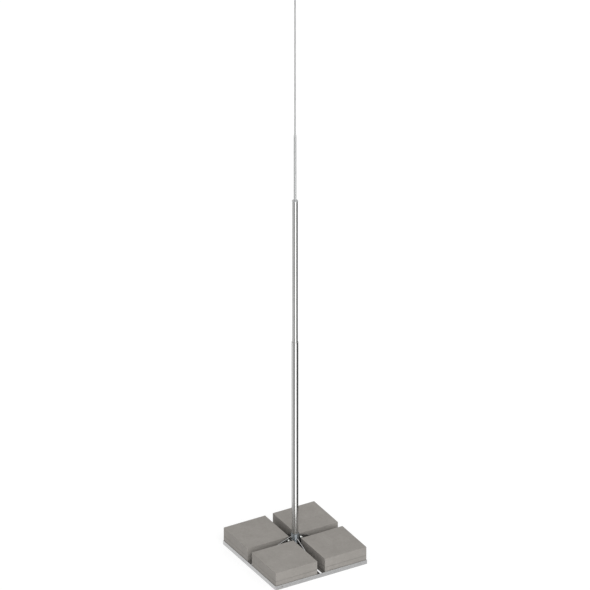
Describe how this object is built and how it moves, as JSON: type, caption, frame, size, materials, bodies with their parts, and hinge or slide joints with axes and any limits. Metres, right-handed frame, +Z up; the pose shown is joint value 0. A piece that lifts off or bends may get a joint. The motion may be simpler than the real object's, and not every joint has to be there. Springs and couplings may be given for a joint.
{
  "type": "lightning rod mast",
  "caption": "Free-standing air-termination mast: stepped rod on telescoped tubes in a gusseted socket, on a square steel frame weighted with concrete blocks.",
  "frame": {"origin": "on the ground at the centre of the square base frame, under the mast's axis", "axes": "+Z up along the mast, +X and +Y along the sides of the base frame, -Y towards the side with the earthing hole near its left corner"},
  "size_m": [0.66, 0.66, 4],
  "materials": {
    "concrete": "matte",
    "galvanised_steel": "satin",
    "mast_steel": "polished",
    "rod_aluminium": "satin"
  },
  "bodies": {
    "root": {"frame_angle_front": "galvanised_steel", "frame_angle_right": "galvanised_steel", "frame_angle_back": "galvanised_steel", "frame_angle_left": "galvanised_steel", "cross_bar_long": "galvanised_steel", "cross_bar_front": "galvanised_steel", "cross_bar_back": "galvanised_steel", "mast_socket": "galvanised_steel", "gusset_front": "galvanised_steel", "gusset_right": "galvanised_steel", "gusset_back": "galvanised_steel", "gusset_left": "galvanised_steel", "clamp_nut_left": "galvanised_steel", "clamp_nut_right": "galvanised_steel", "clamp_bolt_left": "galvanised_steel", "clamp_bolt_right": "galvanised_steel", "ballast_block_front_left": "concrete", "ballast_block_front_right": "concrete", "ballast_block_back_right": "concrete", "ballast_block_back_left": "concrete", "top_block_front_left": "concrete", "top_block_front_right": "concrete", "top_block_back_right": "concrete", "top_block_back_left": "concrete", "lower_tube": "mast_steel", "upper_tube": "mast_steel", "rod_cap": "rod_aluminium", "air_rod": "rod_aluminium"}
  },
  "joints": []
}
